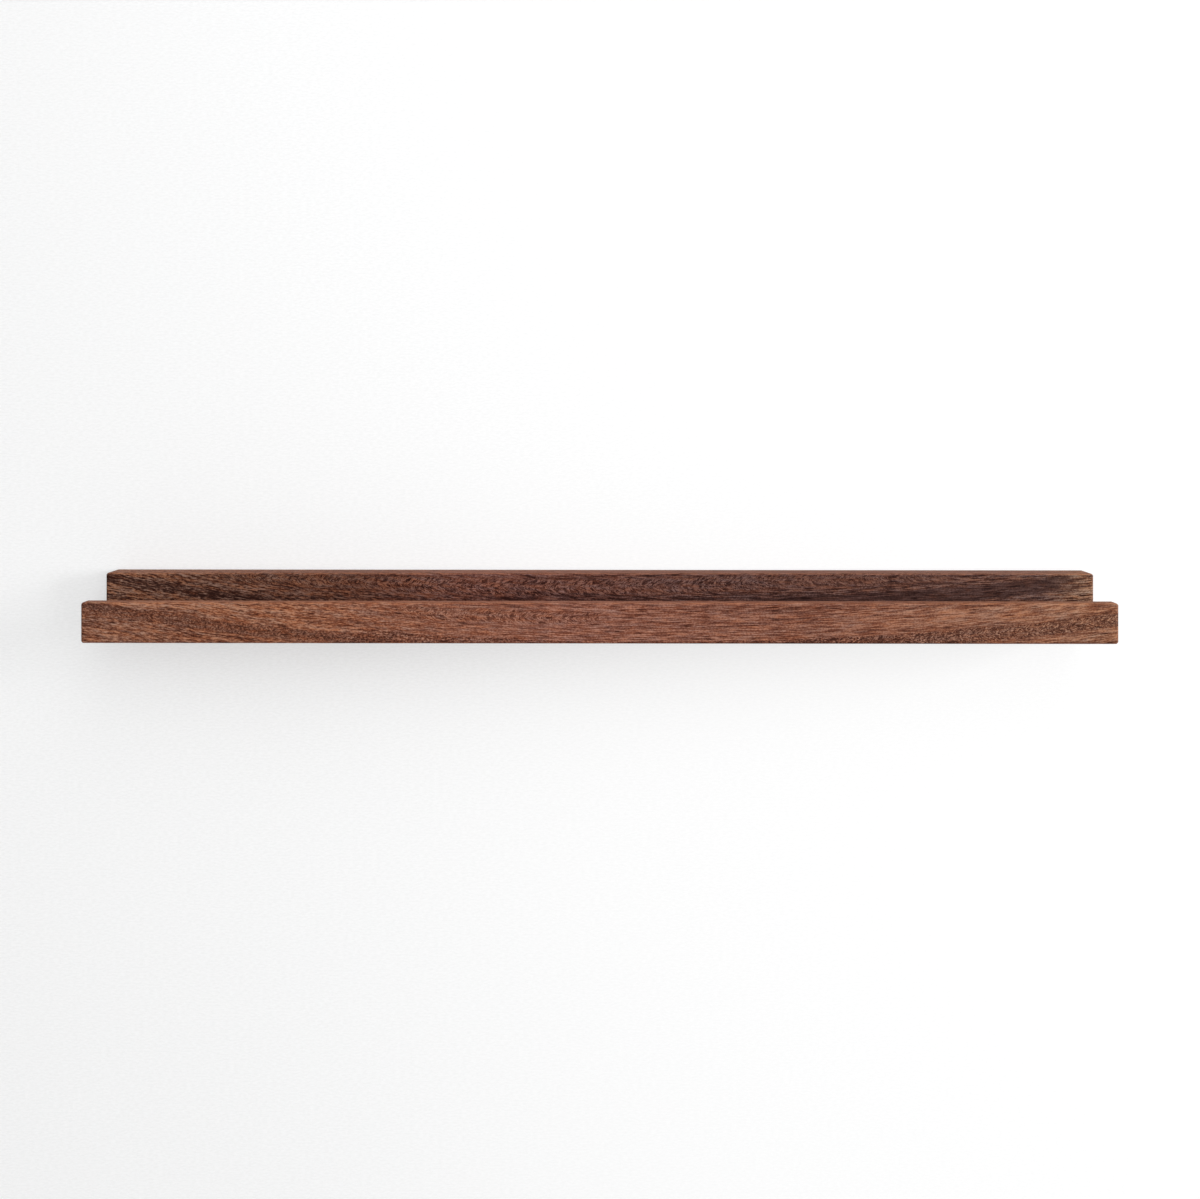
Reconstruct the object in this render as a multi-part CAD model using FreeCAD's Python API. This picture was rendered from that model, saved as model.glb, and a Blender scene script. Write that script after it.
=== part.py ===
"""Floating wall shelf: a picture ledge of three hardwood boards, doweled and glued, on two keyhole plates.

Frame: X runs along the shelf, +Y points at the wall, +Z is up. The origin lies on the wall plane, midway
along the shelf, level with the seats where the two wall screws carry it. All sizes are in millimetres.
"""

import FreeCAD, Part
import math
import os

Vector = FreeCAD.Vector

# Boards
shelf_length = 610.0
rail_thickness = 19.0
rail_height = 36.5
lip_thickness = 10.0
lip_height = 24.0
channel_width = 29.0
board_thickness = 12.0
edge_radius = 1.6

# Fluted dowels across the two glue joints
dowel_diameter = 6.0
dowel_chamfer = 0.8
flute_count = 8
flute_depth = 0.4
rail_dowel_count = 5
lip_dowel_count = 6
last_dowel_to_end = 15.0
dowel_depth_in_board = 13.0
wood_behind_rail_dowels = 7.0
wood_before_lip_dowels = 2.0

# Keyhole plates let into the back of the rail
hanger_to_end = 102.0
plate_thickness = 2.0
plate_rim = 2.25
plate_edge_break = 0.3
wood_above_plate = 4.5
entry_diameter = 9.5
slot_width = 4.8
slot_rise = 6.0
head_room = 6.8

# Countersunk screws that fix each plate
screw_spacing = 33.0
screw_to_plate_end = 6.5
screw_diameter = 3.5
screw_head_diameter = 7.0
screw_point_length = 3.0
wood_before_screws = 6.3
cross_span = 3.6
cross_floor_span = 1.8
cross_width = 0.9
cross_depth = 1.2

# Clearances
dowel_clearance = 0.05
glue_space = 1.0
plate_clearance = 0.2
plate_set_back = 0.2
head_pocket_clearance = 0.25
pilot_clearance = 0.05
pilot_space = 0.5
shank_clearance = 0.25
screw_head_clearance = 0.05

# Sizes that follow from those above
plate_height = entry_diameter + slot_rise + 2 * plate_rim
plate_length = screw_spacing + 2 * screw_to_plate_end
hanger_spacing = shelf_length - 2 * hanger_to_end
dowel_pitch = (shelf_length - 2 * last_dowel_to_end) / (lip_dowel_count - 1)
dowel_depth_in_rail = rail_thickness - wood_behind_rail_dowels - glue_space
dowel_depth_in_lip = lip_thickness - wood_before_lip_dowels - glue_space
screw_length = rail_thickness - plate_set_back - pilot_space - wood_before_screws

# Levels along Z, with the seats of the wall screws at zero
entry_level = -slot_rise
plate_level = -slot_rise / 2
rail_top = plate_level + plate_height / 2 + wood_above_plate
shelf_bottom = rail_top - rail_height
lip_top = shelf_bottom + lip_height
board_top = shelf_bottom + board_thickness
dowel_level = shelf_bottom + board_thickness / 2

# Faces along Y, with the wall at zero
rail_front = -rail_thickness
lip_back = rail_front - channel_width
shelf_front = lip_back - lip_thickness
plate_back = -plate_set_back
plate_front = plate_back - plate_thickness
pocket_floor = plate_front - head_room
screw_tip = plate_back - screw_length

to_wall = Vector(0, 1, 0)
same_place = 1e-6


def centred_row(count, pitch):
    """X places of a row of pieces, evenly spaced about the middle of the shelf."""
    return [(i - (count - 1) / 2) * pitch for i in range(count)]


def round_bar(diameter, x, y_start, y_end, z):
    """A plain round bar along Y."""
    return Part.makeCylinder(diameter / 2, y_end - y_start, Vector(x, y_start, z), to_wall)


def routed_slot(width, first, last, y_start, y_end):
    """A round-ended prism along Y, as a bit of that width cuts between two (x, z) centres."""
    start = Vector(first[0], y_start, first[1])
    end = Vector(last[0], y_start, last[1])
    forward = end.sub(start).normalize().multiply(width / 2)
    side = forward.cross(to_wall)
    outline = Part.Wire([
        Part.LineSegment(start.add(side), end.add(side)).toShape(),
        Part.Arc(end.add(side), end.add(forward), end.sub(side)).toShape(),
        Part.LineSegment(end.sub(side), start.sub(side)).toShape(),
        Part.Arc(start.sub(side), start.sub(forward), start.add(side)).toShape(),
    ])
    return Part.Face(outline).extrude(Vector(0, y_end - y_start, 0))


def is_glued_corner(edge):
    """True for the two long inner corners of the channel, which stay square."""
    middle = edge.CenterOfMass
    on_board = abs(middle.z - board_top) < same_place
    at_upright = min(abs(middle.y - rail_front), abs(middle.y - lip_back)) < same_place
    return on_board and at_upright


def glued_blank():
    """The three boards glued up, with all outer edges eased together as the maker sands them."""
    outline = [
        (0, shelf_bottom),
        (0, rail_top),
        (rail_front, rail_top),
        (rail_front, board_top),
        (lip_back, board_top),
        (lip_back, lip_top),
        (shelf_front, lip_top),
        (shelf_front, shelf_bottom),
    ]
    points = [Vector(-shelf_length / 2, y, z) for y, z in outline]
    profile = Part.Face(Part.makePolygon(points + points[:1]))
    blank = profile.extrude(Vector(shelf_length, 0, 0))
    eased = [edge for edge in blank.Edges if not is_glued_corner(edge)]
    return blank.makeFillet(edge_radius, eased)


def board_between(blank, front, back):
    """The board that lies between two glue faces of the blank."""
    corner = Vector(-shelf_length / 2, front, shelf_bottom)
    return blank.common(Part.makeBox(shelf_length, back - front, rail_height, corner))


def fluted_dowel(x, y_start, y_end):
    """A dowel pin with chamfered ends and straight V-shaped flutes that let the glue out."""
    points = []
    for i in range(2 * flute_count):
        angle = math.pi * i / flute_count
        radius = dowel_diameter / 2 - flute_depth * (i % 2)
        points.append(Vector(x + radius * math.cos(angle), y_start, dowel_level + radius * math.sin(angle)))
    section = Part.Face(Part.makePolygon(points + points[:1]))
    pin = section.extrude(Vector(0, y_end - y_start, 0))
    end_edges = [edge for edge in pin.Edges if edge.BoundBox.YLength < same_place]
    return pin.makeChamfer(dowel_chamfer, end_edges)


def dowel_hole(x, y_start, y_end):
    """The hole for one dowel, drilled into both boards, with room for glue past each end."""
    hole_diameter = dowel_diameter + 2 * dowel_clearance
    return round_bar(hole_diameter, x, y_start - glue_space, y_end + glue_space, dowel_level)


def plate_blank(height, length, hanger_x, y_start, y_end):
    """The round-ended outline of a keyhole plate, or of its recess."""
    reach = (length - height) / 2
    return routed_slot(height, (hanger_x - reach, plate_level), (hanger_x + reach, plate_level), y_start, y_end)


def screw_places(hanger_x):
    """X places of the two screws of one plate."""
    return [hanger_x - screw_spacing / 2, hanger_x + screw_spacing / 2]


def countersunk_bar(x, diameter, head_diameter, tip):
    """A round bar from its tip to the back of the plate, with a 90 degree head there."""
    head_depth = (head_diameter - diameter) / 2
    head_base = Vector(x, plate_back - head_depth, plate_level)
    head = Part.makeCone(diameter / 2, head_diameter / 2, head_depth, head_base, to_wall)
    return round_bar(diameter, x, tip, plate_back, plate_level).fuse(head)


def keyhole_plate(hanger_x):
    """A pressed steel plate: a wall screw's head enters the round hole, and its shank rises up the slot."""
    plate = plate_blank(plate_height, plate_length, hanger_x, plate_front, plate_back)
    back_rim = [edge for edge in plate.Edges if edge.BoundBox.YMin > plate_back - same_place]
    plate = plate.makeChamfer(plate_edge_break, back_rim)
    entry = round_bar(entry_diameter, hanger_x, plate_front, plate_back, entry_level)
    slot = routed_slot(slot_width, (hanger_x, entry_level), (hanger_x, 0), plate_front, plate_back)
    hole_diameter = screw_diameter + 2 * shank_clearance
    head_diameter = screw_head_diameter + 2 * screw_head_clearance
    holes = [countersunk_bar(x, hole_diameter, head_diameter, plate_front) for x in screw_places(hanger_x)]
    return plate.cut([entry, slot] + holes)


def plate_pocket(hanger_x):
    """What is routed and drilled out of the rail for one plate, its screws and the wall screw's head."""
    recess_height = plate_height + 2 * plate_clearance
    recess_length = plate_length + 2 * plate_clearance
    recess = plate_blank(recess_height, recess_length, hanger_x, plate_front, 0)
    pocket_width = entry_diameter + 2 * head_pocket_clearance
    pocket = routed_slot(pocket_width, (hanger_x, entry_level), (hanger_x, 0), pocket_floor, 0)
    pilot_diameter = screw_diameter + 2 * pilot_clearance
    head_diameter = screw_head_diameter + 2 * screw_head_clearance
    pilot_end = screw_tip - pilot_space
    pilots = [countersunk_bar(x, pilot_diameter, head_diameter, pilot_end) for x in screw_places(hanger_x)]
    return [recess, pocket] + pilots


def cross_recess(x):
    """The driver's cross in a screw head: two crossed wedges that narrow towards the point."""
    wedges = []
    for turn in (0, 90):
        wedge = Part.makeWedge(
            -cross_floor_span / 2, 0, -cross_width / 2, -cross_width / 2, -cross_span / 2,
            cross_floor_span / 2, cross_depth, cross_width / 2, cross_width / 2, cross_span / 2,
        )
        wedge.rotate(Vector(0, 0, 0), to_wall, turn)
        wedge.translate(Vector(x, plate_back - cross_depth, plate_level))
        wedges.append(wedge)
    return wedges


def plate_screw(x):
    """A countersunk wood screw with a plain shank of the thread's outer diameter."""
    head_depth = (screw_head_diameter - screw_diameter) / 2
    half_profile = [
        (0, screw_tip),
        (screw_diameter / 2, screw_tip + screw_point_length),
        (screw_diameter / 2, plate_back - head_depth),
        (screw_head_diameter / 2, plate_back),
        (0, plate_back),
    ]
    points = [Vector(x + radius, y, plate_level) for radius, y in half_profile]
    profile = Part.Face(Part.makePolygon(points + points[:1]))
    return profile.revolve(Vector(x, 0, plate_level), to_wall, 360).cut(cross_recess(x))


nodes = {}

rail_dowel_ends = (rail_front - dowel_depth_in_board, rail_front + dowel_depth_in_rail)
lip_dowel_ends = (lip_back - dowel_depth_in_lip, lip_back + dowel_depth_in_board)
rail_dowel_places = centred_row(rail_dowel_count, dowel_pitch)
lip_dowel_places = centred_row(lip_dowel_count, dowel_pitch)
rail_holes = [dowel_hole(x, *rail_dowel_ends) for x in rail_dowel_places]
lip_holes = [dowel_hole(x, *lip_dowel_ends) for x in lip_dowel_places]

left_hanger, right_hanger = centred_row(2, hanger_spacing)
pockets = plate_pocket(left_hanger) + plate_pocket(right_hanger)

blank = glued_blank()
nodes["back_rail"] = board_between(blank, rail_front, 0).cut(rail_holes + pockets)
nodes["shelf_board"] = board_between(blank, lip_back, rail_front).cut(rail_holes + lip_holes)
nodes["front_lip"] = board_between(blank, shelf_front, lip_back).cut(lip_holes)

for number, x in enumerate(rail_dowel_places, start=1):
    nodes[f"rail_dowel_{number}"] = fluted_dowel(x, *rail_dowel_ends)
for number, x in enumerate(lip_dowel_places, start=1):
    nodes[f"lip_dowel_{number}"] = fluted_dowel(x, *lip_dowel_ends)

nodes["left_keyhole_plate"] = keyhole_plate(left_hanger)
nodes["right_keyhole_plate"] = keyhole_plate(right_hanger)
plate_screw_places = screw_places(left_hanger) + screw_places(right_hanger)
nodes["plate_screws"] = Part.makeCompound([plate_screw(x) for x in plate_screw_places])

os.makedirs("parts", exist_ok=True)
for name, shape in nodes.items():
    print(name, len(shape.Solids), shape.isValid(), round(shape.Volume, 1))
    shape.exportStep(f"parts/{name}.step")
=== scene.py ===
import math
from dataclasses import dataclass

import bpy
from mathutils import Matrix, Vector


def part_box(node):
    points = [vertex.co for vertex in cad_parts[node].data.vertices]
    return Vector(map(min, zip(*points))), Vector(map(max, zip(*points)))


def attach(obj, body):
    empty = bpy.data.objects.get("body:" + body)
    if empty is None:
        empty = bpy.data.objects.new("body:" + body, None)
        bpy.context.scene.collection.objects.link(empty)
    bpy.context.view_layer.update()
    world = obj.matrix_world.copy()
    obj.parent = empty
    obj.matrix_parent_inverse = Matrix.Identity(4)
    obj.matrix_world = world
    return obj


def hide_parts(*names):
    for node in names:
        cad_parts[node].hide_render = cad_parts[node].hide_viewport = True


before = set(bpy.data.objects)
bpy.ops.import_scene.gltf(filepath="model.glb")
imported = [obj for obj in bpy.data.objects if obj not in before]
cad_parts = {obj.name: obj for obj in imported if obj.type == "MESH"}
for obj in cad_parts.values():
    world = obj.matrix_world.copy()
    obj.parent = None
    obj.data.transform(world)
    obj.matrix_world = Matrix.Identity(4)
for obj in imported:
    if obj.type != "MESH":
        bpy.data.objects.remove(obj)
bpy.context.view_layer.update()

# Shelf board
# The flat floor of the channel: reddish brown hardwood with interlocked grain, planed, sanded and
# oiled. It is doweled and glued between the front lip and the back rail, which are of the same plank.

mm_in_metre = 1000.0


class Shade:
    """A node of a material and one of its outputs. Sums and products of such outputs add Math nodes."""

    def __init__(self, tree, owner=None, socket=None):
        self.tree = tree
        self.owner = owner
        self.socket = socket

    def node(self, kind, settings=None, sockets=None, output=0):
        """Adds a node: its settings first, then a value or a link for each socket named."""
        made = self.tree.nodes.new(kind)
        for name, value in (settings or {}).items():
            if name == "stops":
                stops = made.color_ramp.elements
                while len(stops) < len(value):
                    stops.new(1.0)
                for stop, (place, colour) in zip(stops, value):
                    stop.position = place
                    stop.color = colour
            else:
                setattr(made, name, value)
        for name, value in (sockets or {}).items():
            Shade(self.tree, made).feed(name, value)
        return Shade(self.tree, made, made.outputs[output])

    def feed(self, name, value):
        """Gives one of this node's sockets a value, or a link from another node."""
        if isinstance(value, Shade):
            self.tree.links.new(value.socket, self.owner.inputs[name])
        else:
            self.owner.inputs[name].default_value = value

    def math(self, operation, *values):
        """Adds a Math node on values or links."""
        return self.node("ShaderNodeMath", {"operation": operation}, dict(enumerate(values)))

    def __add__(self, other):
        return self.math("ADD", self, other)

    def __radd__(self, other):
        return self.math("ADD", other, self)

    def __sub__(self, other):
        return self.math("SUBTRACT", self, other)

    def __rsub__(self, other):
        return self.math("SUBTRACT", other, self)

    def __mul__(self, other):
        return self.math("MULTIPLY", self, other)

    def __rmul__(self, other):
        return self.math("MULTIPLY", other, self)

    def __truediv__(self, other):
        return self.math("DIVIDE", self, other)

    def __abs__(self):
        return self.math("ABSOLUTE", self)


def seen_colour(red, green, blue):
    """A colour as the eye reads it on a screen, 0 to 255, as the linear colour that shaders take."""
    parts = []
    for part in (red, green, blue):
        share = part / 255
        parts.append(share / 12.92 if share <= 0.04045 else ((share + 0.055) / 1.055) ** 2.4)
    return (*parts, 1.0)


def soft_step(value, low, high):
    """0 below low, 1 above high, and smooth between."""
    settings = {"interpolation_type": "SMOOTHSTEP"}
    sockets = {"Value": value, "From Min": low, "From Max": high}
    return value.node("ShaderNodeMapRange", settings, sockets)


def hump(value, centre, half_width):
    """1 at the centre, falling away smoothly on both sides."""
    off = (value - centre) / half_width
    return off.math("EXPONENT", off * off * -1.0)


def place_at(x, y, z):
    """Three values as one place for a texture."""
    return x.node("ShaderNodeCombineXYZ", {}, {"X": x, "Y": y, "Z": z})


def noise(x, y, z, detail=2.0, roughness=0.5):
    """Smooth noise about 0.5, whose spots are about one unit across in each direction."""
    sockets = {"Vector": place_at(x, y, z), "Scale": 1.0, "Detail": detail, "Roughness": roughness}
    return x.node("ShaderNodeTexNoise", {}, sockets)


def pores(x, y, z):
    """1 in scattered dashes of uneven strength, about one to a unit in each direction, and 0 between."""
    sockets = {"Vector": place_at(x, y, z), "Scale": 1.0, "Randomness": 1.0}
    spread = x.node("ShaderNodeTexVoronoi", {}, sockets, "Distance")
    chance = x.node("ShaderNodeTexVoronoi", {}, sockets, "Color")
    strength = x.node("ShaderNodeSeparateColor", {}, {"Color": chance}, "Red")
    return (1 - soft_step(spread, low=0.1, high=0.32)) * strength


def ramp(value, stops):
    """The colour that a value has among stops of (value, colour)."""
    return value.node("ShaderNodeValToRGB", {"stops": stops}, {"Fac": value}, "Color")


def tinted(colour, tint, share=1.0):
    """A colour multiplied by a share of a tint."""
    settings = {"data_type": "RGBA", "blend_type": "MULTIPLY"}
    return colour.node("ShaderNodeMix", settings, {0: share, 6: colour, 7: tint}, 2)


def relief(height, strength, distance):
    """Small bumps of a height, for a shader's Normal."""
    sockets = {"Height": height, "Strength": strength, "Distance": distance}
    return height.node("ShaderNodeBump", {}, sockets)


def new_material(name):
    """A material and its one surface shader."""
    material = bpy.data.materials.new(name)
    material.use_nodes = True
    shader = material.node_tree.nodes["Principled BSDF"]
    return material, Shade(material.node_tree, shader, shader.outputs[0])


def millimetres(surface):
    """The place on the piece along X, Y and Z, in millimetres."""
    place = surface.node("ShaderNodeTexCoord", {}, {}, "Object")
    sockets = {0: place, "Scale": mm_in_metre}
    scaled = surface.node("ShaderNodeVectorMath", {"operation": "SCALE"}, sockets)
    return [surface.node("ShaderNodeSeparateXYZ", {}, {0: scaled}, axis) for axis in "XYZ"]


@dataclass
class Band:
    """A band of figure along the grain, in millimetres.

    Each end is (x, height), with the height that the band would have at the crown of the grain's bow.
    darkness lowers its tone, cool makes it greyer and calm weakens its strokes. feathers is the strength of
    the slanted strokes that run out of it on both sides, like the barbs of a feather, and grit that of fine
    specks in it.
    """

    start: tuple
    end: tuple
    half_width: float
    darkness: float = 0.0
    cool: float = 0.0
    calm: float = 0.0
    feathers: float = 0.0
    grit: float = 0.0


def sharpened(value):
    """Noise about 0 with its middle tones pushed apart, so that strokes stand clear of each other."""
    return soft_step(value, low=-0.17, high=0.17) - 0.5


def oiled_hardwood(node_name, palette, tints, figure, marks, top_wear_and_light, seed, grain, crown):
    """Reddish hardwood whose grain runs along X in a shallow bow, with bands of figure along it.

    palette goes from dark to light, tints along the board, and marks are (x, half width, darkness) of
    faint dark marks across it. top_wear_and_light is how much the top is painted paler and warmer,
    partly worn by handling and partly as painted light from above, with painted shade on the rounded
    edge under it. seed sets one board's grain apart from another's, grain is the strength of its
    strokes, and crown is where along X the grain's bow is highest.
    """
    material, surface = new_material(node_name + "_wood")
    x, y, z = millimetres(surface)
    low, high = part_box(node_name)
    front = low.y * mm_in_metre
    top = high.z * mm_in_metre
    end_face = high.x * mm_in_metre
    board_length = (high.x - low.x) * mm_in_metre

    # Lines of one height in the grain bow along the board, lean inward and wander a little.
    bow = 2.5e-4
    lean = 0.55
    wander_length = 55
    wander_width = 12
    wander_reach = 2.6
    wander = noise(x / wander_length + seed, y / wander_width, z / wander_width, detail=3.0) - 0.5
    height = z + (y - front) * lean + wander * wander_reach - (x - crown) * (x - crown) * bow
    depth = y - z * 0.3

    def fibres(level, length, thickness):
        """Noise about 0 that is drawn out along the grain."""
        return noise(x / length + seed, level / thickness, depth / thickness, detail=1.0) - 0.5

    # The strokes are short at the left, where the fibres come out of the face more steeply. Thin lines
    # and spots of hue are read at other levels, so that they don't follow the strokes.
    line_level = height + 80
    hue_level = height + 40
    cloud = fibres(height, length=150.0, thickness=5.0)
    streak = fibres(height, length=30.0, thickness=1.8)
    grit = sharpened(fibres(height, length=1.1, thickness=0.7))
    short_stroke = sharpened(fibres(height, length=3.5, thickness=0.6))
    long_stroke = sharpened(fibres(height, length=11.0, thickness=0.6))
    thin_line = sharpened(fibres(line_level, length=45.0, thickness=0.8))
    steep = 1 - soft_step(x, low=-180, high=0)
    stroke = long_stroke + (short_stroke * 1.05 + thin_line * 0.7 - long_stroke) * steep
    fine = (stroke * 0.58 + grit * 0.33) * grain
    tone = 0.54 + cloud * 0.2 + streak * 0.08
    broad_spot = fibres(hue_level, length=14.0, thickness=2.2)
    small_spot = fibres(hue_level, length=4.0, thickness=0.9)
    hue = 0.44 + (broad_spot * 1.5 + small_spot * 1.3) * (1 + steep * 0.4) * grain

    def barbs(off):
        """Strokes that slant away from a band's spine on both sides, uneven in slant and spacing."""
        slant = 1.4
        spacing = 0.6
        length = 2.0
        rounded_spine = 0.3
        waver_reach = 5
        rise = off.math("SQRT", off * off + rounded_spine)
        waver = noise(x / 2.5 + seed, off / 1.5, depth / length) - 0.5
        lead = rise * slant - x + grit * 0.5 + waver * waver_reach
        return sharpened(noise(lead / spacing, off / length + seed, depth / length, detail=1.0) - 0.5)

    # Each band softens at its edges and fades out at its ends. Feathers take the place of most strokes.
    edge = 0.9
    fade = 14.0
    strokes_lost = 0.7
    for band in figure:
        (x0, h0), (x1, h1) = band.start, band.end
        slope = (h1 - h0) / (x1 - x0)
        off = height - x * slope - (h0 - x0 * slope)
        reach = 1 - soft_step(abs(off), band.half_width - edge, band.half_width + edge)
        reach = reach * soft_step(x, x0 - fade, x0 + fade) * (1 - soft_step(x, x1 - fade, x1 + fade))
        if band.feathers:
            fine = fine + reach * (barbs(off) * band.feathers - fine * strokes_lost)
        if band.calm:
            fine = fine - fine * reach * band.calm
        fine = fine + reach * grit * band.grit
        tone = tone - reach * band.darkness
        hue = hue + reach * band.cool
    mark_wander = 8
    for centre, half_width, darkness in marks:
        tone = tone - hump(x + wander * mark_wander, centre, half_width) * darkness

    # The ends soak up more oil, which darkens them and evens them out, and growth rings show there.
    # Part of the darkening is painted shade, set against the grazing lamp light on the right end.
    ends = soft_step(abs(x), end_face - 0.5, end_face - 0.1)
    ring = noise(x / 40, height / 1.4, depth / 14) - 0.5
    fine = fine - fine * ends * 0.65
    tone = tone + ends * (ring * 0.5 - 0.2)

    # Pores show as thin dark dashes, fainter on the ends.
    pore_length = 13
    pore_gap = 2.0
    pore = pores(x / pore_length + seed, height / pore_gap, depth / pore_gap) * (1 - ends * 0.5)

    # The top is painted paler and warmer, partly worn by handling and partly as painted light from above,
    # and the rounded edge under it is darker as painted shade.
    worn_and_lit_top = soft_step(z, top - 0.9, top - 0.3) * top_wear_and_light
    painted_arris_shade = hump(z, top - 1.4, half_width=0.5) * top_wear_and_light
    tone = tone + fine - pore * 0.55 * grain + worn_and_lit_top * 1.4 - painted_arris_shade * 0.6
    hue = hue - worn_and_lit_top * 2.5

    dark_to_light = [(share, seen_colour(*colour)) for share, colour in palette]
    left_to_right = [(place / board_length + 0.5, (*tint, 1.0)) for place, tint in tints]
    warm_to_cool = [
        (0.0, (1.05, 0.89, 0.75, 1.0)),
        (0.5, (1.0, 1.0, 1.0, 1.0)),
        (1.0, (0.95, 1.1, 1.26, 1.0)),
    ]
    colour = ramp(tone, dark_to_light)
    # The painted top light also spares the top most of the tints, which carry painted shade on the rail's
    # face.
    colour = tinted(colour, ramp(x / board_length + 0.5, left_to_right), 1 - worn_and_lit_top * 2)
    colour = tinted(colour, ramp(hue, warm_to_cool))

    surface.feed("Base Color", colour)
    surface.feed("Roughness", 0.68 + pore * 0.15 - streak * 0.2)
    surface.feed("Normal", relief(fine * 0.3 - pore * 0.5, strength=0.2, distance=0.0002))
    surface.feed("Specular IOR Level", 0.08)
    return material


def give_finish(piece, material):
    """Makes a material the only one on a piece."""
    piece.data.materials.clear()
    piece.data.materials.append(material)


board_wood = oiled_hardwood(
    "shelf_board",
    palette=[(0.0, (62, 32, 22)), (0.5, (116, 71, 54)), (1.0, (166, 114, 91))],
    tints=[(-305, (1.0, 1.0, 1.0)), (305, (1.0, 1.02, 1.04))],
    figure=[],
    marks=[],
    top_wear_and_light=0.0,
    seed=30.0,
    grain=0.9,
    crown=30.0,
)
give_finish(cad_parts["shelf_board"], board_wood)

# Dowels
# Fluted pins of bare beech, five into the rail and six into the lip. Each is glued into a hole drilled
# partly in the shelf board and partly in its neighbour, so none of them shows.


def bare_beech():
    """Pale pinkish hardwood with short dark flecks along the pin."""
    material, surface = new_material("bare_beech")
    x, y, z = millimetres(surface)
    growth = noise(x / 1.6, y / 14, z / 1.6) - 0.5
    fleck = soft_step(noise(x / 0.25, y / 1.8, z / 0.25, detail=1.0), low=0.6, high=0.7)
    tone = 0.55 + growth * 0.9 - fleck * 0.4
    dark_to_pale = [(0.0, seen_colour(150, 108, 76)), (1.0, seen_colour(222, 190, 152))]
    surface.feed("Base Color", ramp(tone, dark_to_pale))
    surface.feed("Roughness", 0.72 + fleck * 0.1)
    surface.feed("Normal", relief(growth - fleck * 0.5, strength=0.25, distance=0.0002))
    surface.feed("Specular IOR Level", 0.25)
    return material


beech = bare_beech()
for node_name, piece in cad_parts.items():
    if "dowel" in node_name:
        give_finish(piece, beech)

# Front lip
# The low board along the front that keeps pictures from sliding off, cut from the same plank. Its edges
# are eased, and it is glued to the shelf board over six dowels.

# Along the lip the tints darken towards the right: partly the plank's own colour and partly painted shade
# that evens out the stronger lamp light on that side.
lip_tints_and_shade = [
    (-305, (0.89, 0.99, 1.05)),
    (-190, (0.95, 0.97, 0.93)),
    (-20, (0.88, 0.91, 1.05)),
    (150, (0.73, 0.75, 0.8)),
    (305, (0.79, 0.88, 0.86)),
]
lip_figure = [
    Band((-320, -31.4), (-130, -29.9), 3.3, darkness=0.24, cool=0.15, feathers=0.4, grit=0.45),
    Band((-320, -36.2), (-190, -36.2), 0.8, darkness=0.22),
    Band((-300, -39.5), (-200, -40), 0.8, darkness=0.15),
    Band((-280, -23), (-150, -13), 3.5, darkness=-0.12),
    Band((-120, -11.6), (5, -10.1), 3.8, darkness=0.08, feathers=0.75),
    Band((-140, -28), (140, -28), 4.0, darkness=0.15, grit=0.3),
    Band((50, -5), (140, -6), 1.6, darkness=0.12),
    Band((120, -28.6), (320, -29.4), 4.2, darkness=0.22, cool=0.2, feathers=0.75, grit=0.5),
    Band((140, -14), (290, -20), 5.0, darkness=-0.1),
]
lip_wood = oiled_hardwood(
    "front_lip",
    palette=[(0.0, (68, 34, 22)), (0.5, (129, 79, 60)), (1.0, (181, 128, 101))],
    tints=lip_tints_and_shade,
    figure=lip_figure,
    marks=[(-190, 1.5, 0.06)],
    top_wear_and_light=0.1,
    seed=0.0,
    grain=1.0,
    crown=30.0,
)
give_finish(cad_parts["front_lip"], lip_wood)

# Back rail
# The taller board that lies against the wall, cut from the same plank. It is glued to the shelf board
# over five dowels, and its back is routed for the two hangers.

# Along the rail the tints, with its darker palette below, make its face darker than the lip's: partly its
# own darker wood and partly painted shade of the channel behind the lip, which also evens out the stronger
# lamp light on the right.
rail_tints_and_shade = [
    (-305, (0.93, 1.03, 0.96)),
    (-150, (0.6, 0.58, 0.56)),
    (-75, (0.79, 0.75, 0.82)),
    (75, (0.55, 0.58, 0.66)),
    (150, (0.56, 0.59, 0.65)),
    (275, (0.54, 0.62, 0.69)),
    (297, (0.96, 1.17, 1.08)),
]
rail_figure = [
    Band((-320, -39.4), (-205, -33.7), 3.0, darkness=0.34, cool=0.45),
    Band((-240, -22), (-100, -9), 4.6, feathers=1.05),
    Band((-130, -11.5), (110, 7.3), 5.0, feathers=1.05),
    Band((100, 6.6), (220, 10), 4.6, feathers=0.9),
    # The last three bands run low along the rail's face above the lip, and their darkness is partly dark
    # streaks of grain and partly painted shade of the channel.
    Band((-230, -38.5), (-40, -13), 3.5, darkness=0.15, cool=0.2),
    Band((-70, -13), (130, -4), 4.5, darkness=0.2, cool=0.25),
    Band((110, -7.2), (292, -0.6), 4.4, darkness=0.22, cool=0.45, calm=0.4),
]
rail_wood = oiled_hardwood(
    "back_rail",
    palette=[(0.0, (52, 23, 16)), (0.5, (109, 68, 55)), (1.0, (164, 117, 98))],
    tints=rail_tints_and_shade,
    figure=rail_figure,
    marks=[(-193, 2.5, 0.14)],
    top_wear_and_light=0.2,
    seed=11.0,
    grain=1.3,
    crown=130.0,
)
give_finish(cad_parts["back_rail"], rail_wood)

# Keyhole plates
# Two hangers pressed from 2 mm steel sheet and zinc plated, let into the back of the rail. A wall screw's
# head goes in at the round hole, and its shank rides up the slot and scrapes the plating there.

plate_low, plate_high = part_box("right_keyhole_plate")
hanger_x = (plate_low.x + plate_high.x) / 2


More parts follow.
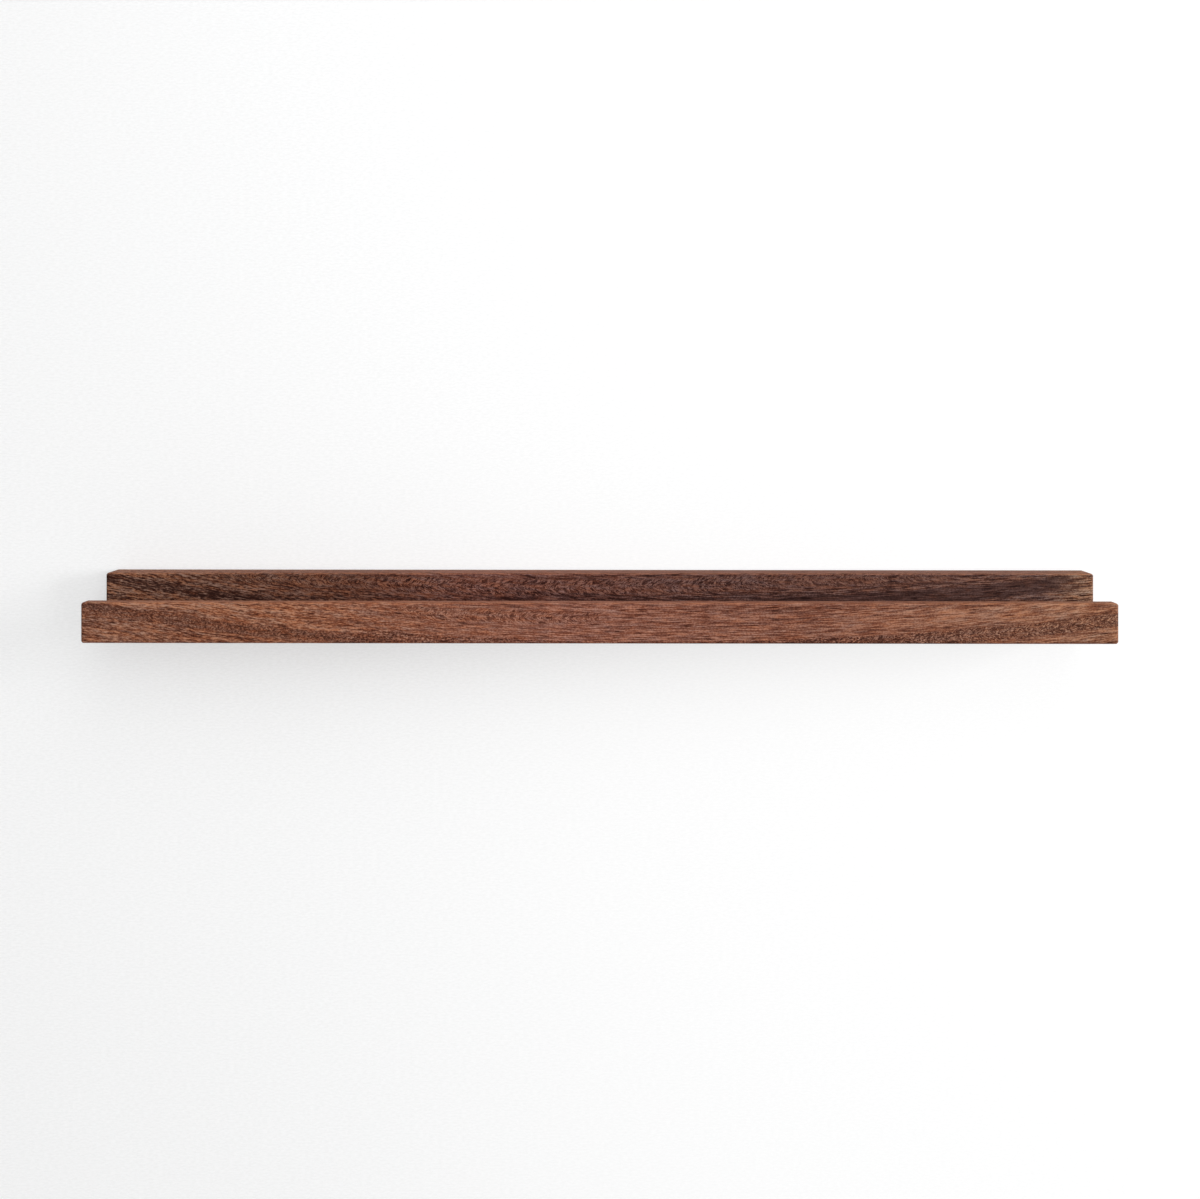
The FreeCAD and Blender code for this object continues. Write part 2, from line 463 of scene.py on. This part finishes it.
def bright_zinc(name, face):
    """Cloudy, faintly blue plating with fine drawn lines along X, scraped bright near the slot.

    face is the level of the outer face along Y, in metres. The plating is thin and dull where it is sunk
    under that face, on sheared edges and in a screw's cross, and it is painted darker there as shade.
    """
    material, surface = new_material(name)
    x, y, z = millimetres(surface)
    cloud = noise(x / 6, y / 6, z / 6, detail=3.0) - 0.5
    drawn = noise(x / 12, y / 0.15, z / 0.15) - 0.5
    near_slot = hump(abs(x), hanger_x * mm_in_metre, half_width=3.5)
    scrape = soft_step(noise(x / 0.14, y / 0.6, z / 6, detail=1.0), low=0.56, high=0.66) * near_slot
    # Sunk places are painted darker as shade.
    sunk = hump(y, face * mm_in_metre - 0.9, half_width=0.55)
    tone = 0.5 + cloud * 0.9 + drawn * 0.25 + scrape * 0.3 - sunk * 0.5
    dull_to_bright = [
        (0.0, seen_colour(62, 64, 66)),
        (0.25, seen_colour(176, 180, 182)),
        (0.45, seen_colour(192, 195, 196)),
        (0.6, seen_colour(200, 199, 190)),
        (1.0, seen_colour(222, 225, 228)),
    ]
    surface.feed("Base Color", ramp(tone, dull_to_bright))
    surface.feed("Metallic", 1.0)
    surface.feed("Roughness", 0.36 + cloud * 0.3 - scrape * 0.1 + sunk * 0.2)
    surface.feed("Normal", relief(drawn * 0.4 - scrape, strength=0.15, distance=0.0001))
    return material


plate_zinc = bright_zinc("plate_zinc", plate_high.y)
give_finish(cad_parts["left_keyhole_plate"], plate_zinc)
give_finish(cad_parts["right_keyhole_plate"], plate_zinc)

# Plate screws
# Four countersunk wood screws of zinc-plated steel, two to a plate and driven flush with it. The cross
# for the driver is punched into the head, and the thread is rolled on right down to the point.

screw_low, screw_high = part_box("plate_screws")
screw_length = screw_high.y - screw_low.y
screw_level = (screw_low.z + screw_high.z) / 2
screw_spacing = 0.033
head_rim = 0.0001
head_radius = (screw_high.z - screw_low.z) / 2
face_radius = head_radius - head_rim
core_radius = 0.00125
neck = head_radius - core_radius
thread_radius = 0.00175
thread_root = 0.00005
thread_pitch = 0.0013
thread_turns = 7
point_length = 0.003
blunt_point = 0.03
cross_span = 0.0036
cross_floor_span = 0.0018
cross_width = 0.0009
cross_depth = 0.0012
round_steps = 32
smooth_angle = math.radians(35)
merge_distance = 1e-6


def apply_place(piece):
    """Puts a piece's place, turn and scale into its mesh."""
    bpy.ops.object.select_all(action="DESELECT")
    piece.select_set(True)
    bpy.context.view_layer.objects.active = piece
    bpy.ops.object.transform_apply(location=True, rotation=True, scale=True)


def face_outward():
    """Merges doubles and turns every face of the piece in edit mode outward."""
    bpy.ops.mesh.select_all(action="SELECT")
    bpy.ops.mesh.remove_doubles(threshold=merge_distance)
    bpy.ops.mesh.normals_make_consistent(inside=False)


def extrude_down(drop, spread=1.0):
    """Draws the selected end face further along -Y and widens or narrows it."""
    bpy.ops.mesh.extrude_region_move(TRANSFORM_OT_translate={"value": (0, -drop, 0)})
    bpy.ops.transform.resize(value=(spread, 1, spread))


def combine(piece, tool, operation):
    """Joins a tool to a piece or cuts it out."""
    bpy.ops.object.select_all(action="DESELECT")
    piece.select_set(True)
    bpy.context.view_layer.objects.active = piece
    bpy.ops.object.modifier_add(type="BOOLEAN")
    change = piece.modifiers[-1]
    change.operation = operation
    change.solver = "EXACT"
    change.object = tool
    bpy.ops.object.modifier_apply(modifier=change.name)


def screw_core():
    """The head, its cone and a straight bare shank, along -Y from the flat of the head.

    It is turned by half a step, so that its edges fall between those of the thread.
    """
    bpy.ops.object.select_all(action="DESELECT")
    half_step = math.pi / round_steps
    turn_to_wall = (-math.pi / 2, half_step, 0)
    bpy.ops.mesh.primitive_circle_add(
        vertices=round_steps, radius=face_radius, fill_type="NGON", rotation=turn_to_wall
    )
    core = bpy.context.object
    bpy.ops.object.mode_set(mode="EDIT")
    extrude_down(head_rim)
    extrude_down(neck - head_rim, core_radius / face_radius)
    extrude_down(screw_length - point_length - neck)
    extrude_down(point_length)
    face_outward()
    bpy.ops.object.mode_set(mode="OBJECT")
    apply_place(core)
    return core


def screw_thread():
    """A three-sided ridge wound right-handed about Y, from the neck down, with its root inside the core."""
    bpy.ops.object.select_all(action="DESELECT")
    ridge_height = thread_radius - core_radius + thread_root
    # A regular triangle is half as tall again as the radius that its corners lie on.
    corner_radius = ridge_height / 1.5
    thread_start = (thread_radius - corner_radius, -neck - corner_radius, 0)
    bpy.ops.mesh.primitive_circle_add(
        vertices=3, radius=corner_radius, location=thread_start, rotation=(0, 0, -math.pi / 2)
    )
    thread = bpy.context.object
    apply_place(thread)
    bpy.ops.object.modifier_add(type="SCREW")
    winding = thread.modifiers[-1]
    winding.axis = "Y"
    winding.angle = -2 * math.pi
    winding.screw_offset = -thread_pitch
    winding.iterations = thread_turns
    winding.steps = round_steps
    winding.render_steps = round_steps
    bpy.ops.object.modifier_apply(modifier=winding.name)
    bpy.ops.object.mode_set(mode="EDIT")
    bpy.ops.mesh.select_all(action="SELECT")
    bpy.ops.mesh.fill_holes(sides=3)
    face_outward()
    bpy.ops.object.mode_set(mode="OBJECT")
    return thread


def draw_to_point(screw):
    """Narrows the last stretch of the core and its thread to a slightly blunt point."""
    for vertex in screw.data.vertices:
        to_point = (vertex.co.y + screw_length) / point_length
        if to_point < 1:
            narrow = max(to_point, blunt_point)
            vertex.co.x *= narrow
            vertex.co.z *= narrow


def cross_blade():
    """One arm of the driver's tip, which narrows to the floor of the cross and stands proud of the head."""
    bpy.ops.object.select_all(action="DESELECT")
    proud = cross_depth / 4
    blade_centre = (0, (proud - cross_depth) / 2, 0)
    blade_size = (cross_span, cross_depth + proud, cross_width)
    bpy.ops.mesh.primitive_cube_add(size=1, location=blade_centre, scale=blade_size)
    blade = bpy.context.object
    apply_place(blade)
    bpy.ops.object.mode_set(mode="EDIT")
    bpy.ops.mesh.select_all(action="DESELECT")
    bpy.ops.object.mode_set(mode="OBJECT")
    for face in blade.data.polygons:
        face.select = face.normal.y < -0.9
    bpy.ops.object.mode_set(mode="EDIT")
    bpy.ops.transform.resize(value=(cross_floor_span / cross_span, 1, 1))
    bpy.ops.object.mode_set(mode="OBJECT")
    return blade


def plate_screw():
    """One screw along Y, with the flat of its head at the origin and its point towards -Y."""
    screw = screw_core()
    thread = screw_thread()
    combine(screw, thread, "UNION")
    bpy.data.objects.remove(thread)
    draw_to_point(screw)
    blade = cross_blade()
    combine(screw, blade, "DIFFERENCE")
    blade.rotation_euler.y = math.pi / 2
    combine(screw, blade, "DIFFERENCE")
    bpy.data.objects.remove(blade)
    return screw


screw_zinc = bright_zinc("screw_zinc", screw_high.y)
first_screw = plate_screw()
screw_places = [
    ("left_plate_screw_1", -1, -1, 0.3),
    ("left_plate_screw_2", -1, 1, 1.1),
    ("right_plate_screw_1", 1, -1, 0.7),
    ("right_plate_screw_2", 1, 1, 0.1),
]
for screw_name, side, end, turn in screw_places:
    screw = first_screw.copy()
    screw.data = first_screw.data.copy()
    screw.name = screw_name
    bpy.context.scene.collection.objects.link(screw)
    screw.rotation_euler.y = turn
    screw.location = (side * hanger_x + end * screw_spacing / 2, screw_high.y, screw_level)
    apply_place(screw)
    bpy.ops.object.shade_smooth_by_angle(angle=smooth_angle)
    give_finish(screw, screw_zinc)
    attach(screw, "root")
    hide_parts("plate_screws")
bpy.data.objects.remove(first_screw)

# Wall and floor
# A plain white rolled wall that the shelf hangs on, with painted light that makes it brighter towards the
# right, open from behind so that the hangers can be seen, and a plain pale floor far below.

floor_level = -2.0
wall_size = 6.0
wall_gap = 0.0006
left_glow = 0.48
right_glow = 0.76
glow_reach = 230


def seen_by_eye(shade):
    """1 for what is seen straight, in a reflection or through glass, and 0 for what lights other things."""
    kinds = ("Is Camera Ray", "Is Glossy Ray", "Is Transmission Ray")
    straight, reflected, through = [shade.node("ShaderNodeLightPath", {}, {}, kind) for kind in kinds]
    return shade.math("MAXIMUM", shade.math("MAXIMUM", straight, reflected), through)


def whitened(paint, share):
    """A paint mixed with white for the eye alone, so that it throws no more light on the shelf."""
    white = paint.node("ShaderNodeEmission", {}, {"Color": (1.0, 1.0, 1.0, 1.0), "Strength": 1.0})
    return paint.node("ShaderNodeMixShader", {}, {0: seen_by_eye(paint) * share, 1: paint, 2: white})


def show(shade):
    """Makes a shader the one that its material shows."""
    output = shade.tree.nodes["Material Output"]
    Shade(shade.tree, output).feed("Surface", shade)


# The wall is there for the eye alone: it shades nothing and throws no light back.
bpy.ops.object.select_all(action="DESELECT")
wall_place = (0, wall_gap, floor_level + wall_size / 2)
bpy.ops.mesh.primitive_plane_add(size=wall_size, location=wall_place, rotation=(math.pi / 2, 0, 0))
wall = bpy.context.object
wall.name = "wall"
wall.visible_shadow = False
wall.visible_diffuse = False
wall.visible_glossy = False
wall_paint, paint = new_material("wall_paint")
x, y, z = millimetres(paint)
nap = noise(x / 3, y, z / 3, detail=3.0, roughness=0.7)
coat = [(0.38, (0.88, 0.886, 0.89, 1.0)), (0.62, (0.985, 0.99, 0.994, 1.0))]
paint.feed("Base Color", ramp(nap, coat))
paint.feed("Roughness", 0.9)
paint.feed("Specular IOR Level", 0.0)
# The white mixed in grows towards the right: painted light that brightens the wall there and fades its
# shadows.
glow = left_glow + soft_step(x, -glow_reach, glow_reach) * (right_glow - left_glow)
bright_paint = whitened(paint, glow)
behind = paint.node("ShaderNodeNewGeometry", {}, {}, "Backfacing")
open_side = paint.node("ShaderNodeBsdfTransparent")
show(paint.node("ShaderNodeMixShader", {}, {0: behind, 1: bright_paint, 2: open_side}))
give_finish(wall, wall_paint)

floor_size = 8.0
floor_glow = 0.4
bpy.ops.mesh.primitive_plane_add(size=floor_size, location=(0, 0, floor_level))
floor = bpy.context.object
floor.name = "floor"
floor_paint, paint = new_material("floor_paint")
paint.feed("Base Color", (0.85, 0.85, 0.84, 1.0))
paint.feed("Roughness", 0.8)
show(whitened(paint, floor_glow))
give_finish(floor, floor_paint)

# Light
# Even daylight from all round, a soft lamp well to the right that grazes the wall, a wide one in front
# and a third overhead that lights the upper edges.

ambient = 0.4
world = bpy.data.worlds.new("studio")
bpy.context.scene.world = world
world.use_nodes = True
sky = Shade(world.node_tree, world.node_tree.nodes["Background"])
sky.feed("Color", (1.0, 1.0, 1.0, 1.0))
sky.feed("Strength", ambient + seen_by_eye(sky) * (1.0 - ambient))


def soft_light(name, place, size, power):
    """A square lamp that faces the middle of the shelf."""
    lamp = bpy.data.lights.new(name, "AREA")
    lamp.size = size
    lamp.energy = power
    holder = bpy.data.objects.new(name, lamp)
    holder.location = place
    to_shelf = Vector((0, 0, 0)) - Vector(place)
    holder.rotation_euler = to_shelf.to_track_quat("-Z", "Y").to_euler()
    bpy.context.scene.collection.objects.link(holder)


soft_light("key", place=(1.9, -0.8, 0.3), size=0.7, power=36)
soft_light("front", place=(0.5, -1.6, 0.35), size=1.0, power=7)
soft_light("overhead", place=(0.3, -1.0, 1.2), size=1.0, power=6.5)

# Camera
# Level, in front of the middle of the shelf and a little above it. The lens is shifted down, so that
# upright edges stay upright in the picture.

photo_width = 1200
photo_height = 1199
focal_pixels = 1295
horizon_row = 409.6
camera_distance = 0.8184
camera_height = 0.1126
camera_roll = math.radians(-0.06)
camera_data = bpy.data.cameras.new("camera")
camera_data.sensor_width = 36
camera_data.lens = camera_data.sensor_width * focal_pixels / photo_width
camera_data.shift_y = (horizon_row - photo_height / 2) / photo_width
camera = bpy.data.objects.new("camera", camera_data)
camera.location = (0, -camera_distance, camera_height)
camera.rotation_euler = (math.pi / 2, camera_roll, 0)
bpy.context.scene.collection.objects.link(camera)
bpy.context.scene.camera = camera

bpy.context.scene.view_settings.view_transform = "Standard"
